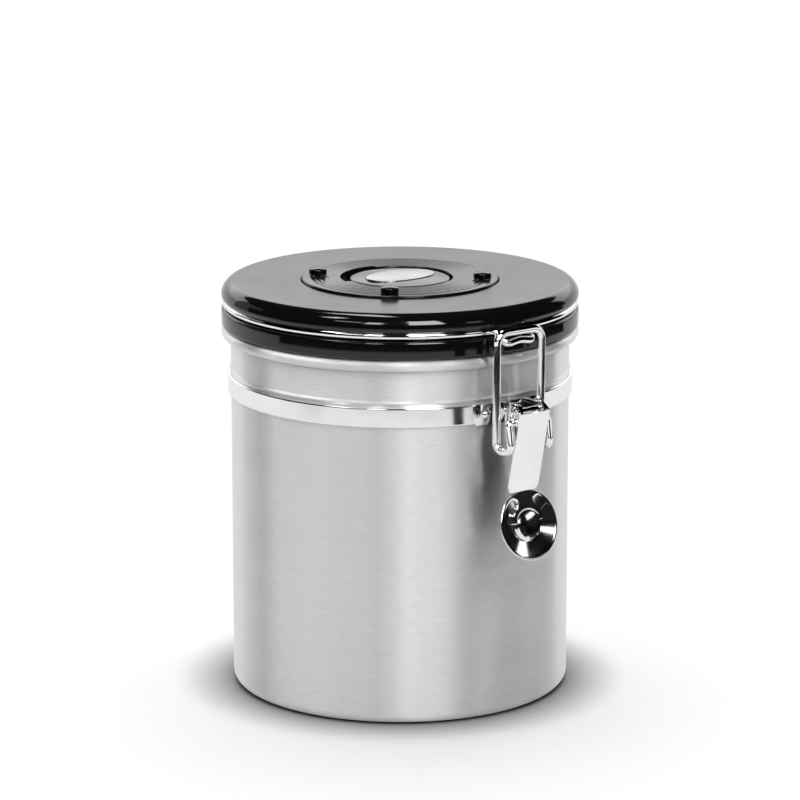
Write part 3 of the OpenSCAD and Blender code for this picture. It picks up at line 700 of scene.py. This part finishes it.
wire_steel = polished_finish("polished wire", 0.96, 0.05, 0.00002)
catch_r, catch_z, catch_half, catch_arch = lid_r + 0.003, hoop_z - 0.0031, 0.0063, 0.001
hinge_y = hoop_hi.y - wire_r
leg_half, rear_run, rear_bend = 0.0094, 0.0024, 0.0019
front, back = 10, 10.5
front_run = 0.0044
catch_bends = [0.0025, 0.002, 0.008, 0.002, 0.0025]


def on_hoop(degrees):
    """A point on the circle of the lid wire"""
    a = math.radians(degrees)
    return Vector((hoop_r * math.cos(a), hoop_r * math.sin(a), hoop_z))


def mirrored(points):
    """The same points on the other side of the middle, in reverse"""
    return [Vector((-p.x, p.y, p.z)) for p in reversed(points)]


def tangent_from(degrees, length):
    """A point straight on from the circle of the lid wire"""
    a = math.radians(degrees)
    return on_hoop(degrees) + Vector((-math.sin(a), math.cos(a), 0)) * length


right = [on_hoop(front - 90 + (180 - front - back) * i / 90) for i in range(91)]
bar = [right[-1], tangent_from(90 - back, rear_run), Vector((leg_half, hinge_y, hoop_z))]
bar = bent(bar + mirrored(bar), [rear_bend] * 4)
left = mirrored(right)
catch = [left[-1], tangent_from(-90 - front, front_run),
         Vector((-catch_half, -catch_r, catch_z - catch_arch))]
half = catch + [Vector((0, -catch_r, catch_z))]
catch = bent(half + mirrored(half[:-1]), catch_bends)
hoop = wire_mesh("lid wire", right + bar[1:-1] + left + catch[1:-1], wire_r, wire_steel, closed=True)
fitted("shown_lid_wire", hoop, wire_steel, "lid_wire", crease=60)


# Vent cover. A round moulding that turns in the lid's well: fine turned ribs, three studs for the
# fingers, a vent slot along the inner edge, a domed cap and a bare oval plate.
cover_black = moulded_finish("satin black cover", (0.008,) * 3, (0.014,) * 3, 0.12, 0.22, 0.000004)
ring_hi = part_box("vent_ring")[1]
rib_rise, rib_pitch, rib_w, rib_first, rib_room = 0.00009, 0.0017, 0.0008, 0.0016, 0.002
cover_z = ring_hi.z - 0.0003
cover_r, cover_in = 0.0363, 0.0196
cover_t = 0.0022
skirt_r, skirt_t, skirt_z = cover_r - 0.0012, 0.0018, well_z + 0.0001
vent_floor, vent_floor_t, vent_floor_in = well_z + 0.0026, 0.001, 0.008
tube_in, tube_t = cover_in + 0.0029, 0.0013
slot_w, slot_start, slot_end = 0.0026, 79, 168
rib_count = math.floor((cover_r - cover_in - rib_room) / rib_pitch)
edge = 0.0005

outline = [(cover_in, cover_z - cover_t)]
outline += arc(cover_in + edge, cover_z - edge, edge, 180, 90, 5)
for i in range(rib_count):
    r = cover_in + rib_first + rib_pitch * i
    outline += [(r + rib_w * (k / 8 - 0.5), cover_z + rib_rise * math.sin(math.pi * k / 8)) for k in range(9)]
outline += arc(cover_r - edge, cover_z - edge, edge, 90, 0, 6)
outline += [(cover_r, cover_z - cover_t), (skirt_r, cover_z - cover_t), (skirt_r, skirt_z),
            (skirt_r - skirt_t, skirt_z), (skirt_r - skirt_t, cover_z - cover_t),
            (tube_in + tube_t, cover_z - cover_t), (tube_in + tube_t, vent_floor),
            (vent_floor_in, vent_floor), (vent_floor_in, vent_floor + vent_floor_t),
            (tube_in, vent_floor + vent_floor_t), (tube_in, cover_z - cover_t)]
slot_r, slot_low, slot_high = cover_in - 0.001, cover_z - cover_t - 0.0005, cover_z + 0.002
slot = turned("vent slot", [(slot_r, slot_low), (cover_in + slot_w, slot_low), (cover_in + slot_w, slot_high),
                            (slot_r, slot_high)], 64, slot_start, slot_end - slot_start)
ring = worked(turned("vent ring", outline, 256), [slot])
fitted("shown_vent_ring", ring, cover_black, "vent_ring")

stud_black = moulded_finish("gloss black studs", (0.004,) * 3, (0.006,) * 3, 0.04, 0.08, 0.000002)
stud_r, stud_h, stud_dome, stud_at = 0.00335, 0.0022, 0.0005, 0.0307
peg_r, peg_h = 0.0013, 0.002
first_stud, stud_step = math.radians(135), math.radians(90)
stud_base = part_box("grip_studs")[1].z - stud_h

stud_tree, given, out = maker_tree(
    "studs on a ring",
    (("Stud", "Geometry"), ("Count", "Int"), ("Ring radius", "Float"), ("First", "Float"),
     ("Step", "Float"), ("Height", "Float"), ("Finish", "Material")), "Studs")
nodes, links = stud_tree.nodes, stud_tree.links
row = nodes.new("GeometryNodeMeshLine")
index = nodes.new("GeometryNodeInputIndex")
turn = nodes.new("ShaderNodeMath")
turn.operation = "MULTIPLY_ADD"
spot = nodes.new("ShaderNodeCombineXYZ")
about = nodes.new("ShaderNodeCombineXYZ")
spin = nodes.new("ShaderNodeVectorRotate")
spin.rotation_type = "Z_AXIS"
place = nodes.new("GeometryNodeSetPosition")
copies = nodes.new("GeometryNodeInstanceOnPoints")
real = nodes.new("GeometryNodeRealizeInstances")
coat = nodes.new("GeometryNodeSetMaterial")
links.new(given.outputs["Count"], row.inputs["Count"])
links.new(index.outputs[0], turn.inputs[0])
links.new(given.outputs["Step"], turn.inputs[1])
links.new(given.outputs["First"], turn.inputs[2])
links.new(given.outputs["Ring radius"], spot.inputs["X"])
links.new(given.outputs["Height"], spot.inputs["Z"])
links.new(spot.outputs[0], spin.inputs["Vector"])
links.new(turn.outputs[0], spin.inputs["Angle"])
links.new(row.outputs["Mesh"], place.inputs["Geometry"])
links.new(spin.outputs[0], place.inputs["Position"])
links.new(place.outputs["Geometry"], copies.inputs["Points"])
links.new(given.outputs["Stud"], copies.inputs["Instance"])
links.new(turn.outputs[0], about.inputs["Z"])
links.new(about.outputs[0], copies.inputs["Rotation"])
links.new(copies.outputs["Instances"], real.inputs["Geometry"])
links.new(real.outputs["Geometry"], coat.inputs["Geometry"])
links.new(given.outputs["Finish"], coat.inputs["Material"])
links.new(coat.outputs["Geometry"], out.inputs["Studs"])

edge = 0.0004
ball = (stud_r ** 2 + stud_dome ** 2) / (2 * stud_dome)
half_turn = math.degrees(math.asin((stud_r - edge) / ball))
outline = [(0, -peg_h), (peg_r, -peg_h), (peg_r, 0), (stud_r, 0)]
outline += arc(stud_r - edge, stud_h - stud_dome - edge / 2, edge, 0, 90 - half_turn, 5)
outline += arc(0, stud_h - ball, ball, 90 - half_turn, 90, 10)
stud = turned("grip stud", outline, 48)
studs = grown("grip studs", stud, stud_tree, Count=3, Ring_radius=stud_at, First=first_stud, Step=stud_step,
              Height=stud_base, Finish=stud_black)
fitted("shown_grip_studs", studs, stud_black, "grip_studs")

cap_black = moulded_finish("gloss black cap", (0.005,) * 3, (0.009,) * 3, 0.06, 0.12, 0.000003)
cap_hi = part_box("centre_cap")[1]
cap_r, cap_dome, edge = cap_hi.x, 0.001, 0.0004
cap_sink = 0.0004
cap_edge = cover_z - cap_sink
cap_top = cap_edge + cap_dome
cap_bot = cover_z - cover_t
cap_plug, cap_stem = vent_floor_in - 0.00002, 0.011
dome = (cap_r ** 2 + cap_dome ** 2) / (2 * cap_dome)
dome_turn = math.degrees(math.asin((cap_r - edge) / dome))
outline = [(0, vent_floor), (cap_plug, vent_floor), (cap_plug, vent_floor + vent_floor_t),
           (cap_stem, vent_floor + vent_floor_t), (cap_stem, cap_bot), (cap_r, cap_bot)]
outline += arc(cap_r - edge, cap_edge - edge, edge, 0, 80, 5)
outline += arc(0, cap_top - dome, dome, 90 - dome_turn, 90, 20)
plate_long, plate_wide, plate_t = 0.0286, 0.0183, 0.0007


def oval_block(name, long, wide, low, high, edge=0.0):
    """An upright oval block, with its top edge rounded off"""
    shape = bmesh.new()
    steps = 144
    rings = []
    levels = [(0, low), (0, high - edge)]
    if edge:
        levels += [(edge - edge * math.cos(a), high - edge + edge * math.sin(a))
                   for a in (math.pi * k / 8 for k in range(1, 5))]
    for inset, z in levels:
        rings.append([shape.verts.new(((long / 2 - inset) * math.cos(2 * math.pi * i / steps),
                                       (wide / 2 - inset) * math.sin(2 * math.pi * i / steps), z))
                      for i in range(steps)])
    for lower, upper in zip(rings, rings[1:]):
        for i in range(steps):
            k = (i + 1) % steps
            shape.faces.new((lower[i], lower[k], upper[k], upper[i]))
    shape.faces.new(rings[0])
    shape.faces.new(rings[-1])
    bmesh.ops.recalc_face_normals(shape, faces=shape.faces)
    mesh = bpy.data.meshes.new(name)
    shape.to_mesh(mesh)
    shape.free()
    return mesh


pocket_gap, pocket_rise, plate_edge = 0.0008, 0.003, 0.0002
pocket = oval_block("pocket", plate_long + pocket_gap, plate_wide + pocket_gap, cap_top - plate_t,
                    cap_top + pocket_rise)
cap = worked(turned("centre cap", outline, 192), [pocket])
fitted("shown_centre_cap", cap, cap_black, "centre_cap")

plate_metal, shader, links = finish_of("silver plate", metallic=1.0)
lines = placed(plate_metal, grain, Lines=(5200, 90, 90), Bands=(300, 12, 12))
links.new(tinted(plate_metal, ranged(plate_metal, lines.outputs["Lines"], 0, 1),
                 (0.46,) * 3, (0.58,) * 3), shader.inputs["Base Color"])
links.new(ranged(plate_metal, lines.outputs["Bands"], 0.22, 0.34), shader.inputs["Roughness"])
links.new(bumped(plate_metal, lines.outputs["Lines"], 0.000008), shader.inputs["Normal"])
plate = oval_block("oval plate", plate_long, plate_wide, cap_top - plate_t, cap_top, plate_edge)
fitted("shown_oval_plate", plate, plate_metal, "oval_plate")


# Lever. One piece of sheet steel: a channel at the top that holds the pin and the bail, a flat handle,
# and a dished thumb disc with a domed boss that the flat face runs on to like a tongue. Its back, which
# faces the can, is rougher and carries painted shade, a dark grey that the can reflects as a dark streak.
lever_steel = polished_finish("polished lever", 0.99, 0.06, 0.00006)
back_painted_shade, back_rough, back_from, back_full = (0.07,) * 3, 0.3, 0.2, 0.6
links = lever_steel.node_tree.links
colour = lever_steel.node_tree.nodes["Principled BSDF"].inputs["Base Color"]
# Painted shade on the back: the colour turns to a dark grey where the face turns to the can.
shaded_back_colour = tinted(lever_steel, facing(lever_steel, "Y", back_from, back_full, 0, 1), back_painted_shade, back_painted_shade)
links.new(colour.links[0].from_socket, shaded_back_colour.node.inputs[6])
links.new(shaded_back_colour, colour)
roughened(lever_steel, facing(lever_steel, "Y", back_from, back_full, 0, back_rough))

pin_lo, pin_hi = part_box("lever_pin")
pin_y, pin_z = -(pin_lo.y + pin_hi.y) / 2, (pin_lo.z + pin_hi.z) / 2
pivot_y, pivot_z = pin_y - 0.0004, pin_z - 0.0041
pin_r, bail_r, turn_gap = 0.0009, 0.0015, 0.00005
lever_lean, thumb_lean = math.radians(12.3), math.radians(16)
lever_y, lever_z = pin_y + 0.0041, pin_z - 0.0004
lever_half, lever_wall, lever_len = 0.007, 0.0008, 0.031
lever_depth, wall_len, wall_rise, lip = 0.0087, 0.0165, 0.0019, 0.0013
corner = 0.0009
crease_half, taper = 0.0063, 0.0022
thumb_r, rim_flat, rim_ease, rim_lap = 0.013, 0.0005, 0.0006, 0.00064
dish_depth, boss_r, boss_h = 0.0016, 0.005, 0.0006
moat_w, moat_depth = 0.0009, 0.00022
tongue_end, tongue_wall = 0.0012, 0.0005
thumb_drop = thumb_r - rim_lap
in_lever = Matrix.Translation((0, -lever_y, lever_z)) @ Matrix.Rotation(lever_lean, 4, "X")
in_thumb = in_lever @ Matrix.Translation((0, 0, -lever_len))
in_thumb = in_thumb @ Matrix.Rotation(-lever_lean - thumb_lean, 4, "X")


def eased_step(value, low, high):
    """Runs smoothly from 0 to 1 between two values"""
    t = min(max((value - low) / (high - low), 0), 1)
    return t * t * (3 - 2 * t)


def wall_depth(z):
    """How deep the channel's side walls are at a height in the lever's frame"""
    drop = min(max(-z / wall_len, 0), 1)
    return max(lever_depth * math.sqrt(1 - drop * drop), lip)


def channel_mesh():
    """The channel and the handle: their section outside and inside, followed from the top edge down"""
    across = [(-1, "wall", s / 8) for s in range(8, 0, -1)]
    across += [(-1, "turn", a) for a in range(90, 0, -15)]
    across += [(1, "face", k / 8) for k in range(-8, 9)]
    across += [(1, "turn", a) for a in range(15, 91, 15)]
    across += [(1, "wall", s / 8) for s in range(1, 9)]
    down = 70

    def point(side, kind, s, j, inset):
        """A point of the section, inset from the outer face"""
        reach = s * lever_depth if kind == "wall" else 0
        top = wall_rise * math.sin(min(reach / lever_depth, 1) * math.pi / 2)
        z = top - (lever_len + top) * j / down
        if kind == "face":
            x, y = s * (lever_half - corner), inset
        elif kind == "turn":
            bend = math.radians(s)
            x = side * (lever_half - corner + (corner - inset) * math.sin(bend))
            y = corner - (corner - inset) * math.cos(bend)
        else:
            x, y = side * (lever_half - inset), corner + (wall_depth(z) - corner) * s
        narrow = 1 - (1 - crease_half / lever_half) * eased_step(-z, lever_len - taper, lever_len)
        return x * narrow, y, z

    shape = bmesh.new()
    rows = []
    for j in range(down + 1):
        outer = [shape.verts.new(point(*place, j, 0)) for place in across]
        inner = [shape.verts.new(point(*place, j, lever_wall)) for place in across]
        rows.append(outer + inner[::-1])
    for upper, lower in zip(rows, rows[1:]):
        for i in range(len(upper)):
            k = (i + 1) % len(upper)
            shape.faces.new((upper[i], lower[i], lower[k], upper[k]))
    count = len(across)
    for row in (rows[0], rows[-1]):
        for i in range(count - 1):
            shape.faces.new((row[i], row[i + 1], row[2 * count - 2 - i], row[2 * count - 1 - i]))
    bmesh.ops.recalc_face_normals(shape, faces=shape.faces)
    mesh = bpy.data.meshes.new("lever channel")
    shape.to_mesh(mesh)
    shape.free()
    mesh.transform(in_lever)
    return mesh


def tongue_half(z):
    """Half width of the flat tongue at a height below the crease"""
    neck, flare = 0.0033, 0.0064
    pinch_start, pinch_end, flare_start, flare_end = 0.0008, 0.0034, 0.0042, 0.0088
    if -z < pinch_end:
        return lever_half + (neck - lever_half) * eased_step(-z, pinch_start, pinch_end)
    return neck + (flare - neck) * eased_step(-z, flare_start, flare_end)


def thumb_height(x, z):
    """Height of the thumb disc's face over its rim plane"""
    r = math.hypot(x, z + thumb_drop)
    reach = thumb_r - rim_flat
    if r >= reach:
        return 0.0
    moat = -moat_depth * math.sin(math.pi * min(max((r - boss_r) / moat_w, 0), 1))
    if r <= boss_r:
        return boss_h * (1 - (r / boss_r) ** 2)
    fall = (reach - r) / (reach - boss_r - moat_w) * eased_step(reach - r, 0, rim_ease)
    dish = -dish_depth * min(fall, eased_step(r, boss_r, boss_r + moat_w))
    if z < tongue_end - thumb_drop:
        return dish
    beside = eased_step(abs(x) - tongue_half(z), 0.0, tongue_wall)
    return dish * beside + moat * (1 - beside)


def thumb_mesh():
    """The thumb disc as rings round its boss, front and back, with a rounded rim"""
    rings, steps, rim = 60, 192, lever_wall / 2
    shape = bmesh.new()
    front_mid = shape.verts.new((0, -boss_h, -thumb_drop))
    back_mid = shape.verts.new((0, lever_wall - boss_h, -thumb_drop))
    spans = [(thumb_r - rim) * j / rings for j in range(1, rings + 1)]
    turns = [math.pi * k / 8 for k in range(1, 8)]

    def ring_of(r, offset, follows):
        """A ring of vertices at a radius, at the face's height or at the rim's"""
        ring = []
        for i in range(steps):
            a = 2 * math.pi * i / steps
            x, z = r * math.sin(a), r * math.cos(a) - thumb_drop
            ring.append(shape.verts.new((x, offset - (thumb_height(x, z) if follows else 0), z)))
        return ring

    grid = [ring_of(r, 0, True) for r in spans]
    grid += [ring_of(thumb_r - rim + rim * math.sin(t), rim - rim * math.cos(t), False) for t in turns]
    grid += [ring_of(r, lever_wall, True) for r in reversed(spans)]
    for i in range(steps):
        k = (i + 1) % steps
        shape.faces.new((front_mid, grid[0][i], grid[0][k]))
        shape.faces.new((back_mid, grid[-1][k], grid[-1][i]))
        for inner, outer in zip(grid, grid[1:]):
            shape.faces.new((inner[i], outer[i], outer[k], inner[k]))
    bmesh.ops.recalc_face_normals(shape, faces=shape.faces)
    mesh = bpy.data.meshes.new("thumb disc")
    shape.to_mesh(mesh)
    shape.free()
    mesh.transform(in_thumb)
    return mesh


def bore(name, y, z, radius, reach=0.012):
    """A cutter across the lever"""
    mesh = turned(name, [(0, -reach), (radius, -reach), (radius, reach), (0, reach)], 48)
    mesh.transform(Matrix.Translation((0, -y, z)) @ Matrix.Rotation(math.pi / 2, 4, "Y"))
    return mesh


channel = worked(channel_mesh(), [bore("pin bore", pin_y, pin_z, pin_r + turn_gap),
                                  bore("bail bore", pivot_y, pivot_z, bail_r + turn_gap)])
lever = worked(thumb_mesh(), [channel], "UNION")
latch = fitted("shown_lever", lever, lever_steel, "latch_lever", crease=34)
latch_pieces.objects.link(latch)


# Bail. A loop of wire that hooks over the catch of the lid. Its two legs bend back up at the bottom
# and turn in the walls of the lever.
bail_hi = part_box("bail_wire")[1]
bail_half, bar_z = bail_hi.x - bail_r, bail_hi.z - bail_r
hook_drop, hook_out, hook_side, end_gap = 0.0107, 0.0016, 0.002, 0.0001
hook_z, hook_y = pivot_z - hook_drop, pivot_y + hook_out
hook_half, end_half = lever_half + hook_side, lever_half - lever_wall - end_gap
bar_y = catch_r
leg = [Vector(p) for p in ((bail_half, -bar_y, bar_z), (bail_half, -bar_y, hook_z),
                           (hook_half, -hook_y, hook_z), (hook_half, -pivot_y, pivot_z),
                           (end_half, -pivot_y, pivot_z))]
bends = [0.0042, 0.0029, 0.0029, 0.0016]
path = bent(mirrored(leg) + leg, bends[::-1] + bends)
bail = wire_mesh("bail", path, bail_r, wire_steel)
bail_pieces.objects.link(fitted("shown_bail", bail, wire_steel, "bail_wire", crease=60))


# Inner pieces and rivets. The lid's plug is a matt black moulding, the seals are silicone, and the valve is a
# white plastic seat with a soft flap, a guide cage and a felt filter. They keep the shape of the frame.
liner_black = moulded_finish("matt black liner", (0.016,) * 3, (0.024,) * 3, 0.34, 0.5, 0.000006)
valve_white = moulded_finish("white valve plastic", (0.70, 0.70, 0.68), (0.78, 0.78, 0.76),
                             0.28, 0.4, 0.000004)
seal_dark = moulded_finish("dark silicone", (0.03,) * 3, (0.045,) * 3, 0.45, 0.6, 0.000006)
flap_light = moulded_finish("light silicone", (0.55, 0.54, 0.51), (0.64, 0.63, 0.60), 0.35, 0.5, 0.000004)
felt = moulded_finish("filter felt", (0.50, 0.42, 0.30), (0.66, 0.57, 0.44), 0.9, 1.0, 0.00006)
for node, finish in (("bracket_rivets", clamp_steel), ("hinge_rivets", clamp_steel),
                     ("lid_liner", liner_black), ("lid_gasket", seal_dark), ("valve_body", valve_white),
                     ("valve_o_ring", seal_dark), ("valve_cage", valve_white),
                     ("filter_retainer", valve_white), ("valve_filter", felt), ("valve_flap", flap_light)):
    mesh = frame["nodes"][node].data
    mesh.materials.clear()
    mesh.materials.append(finish)
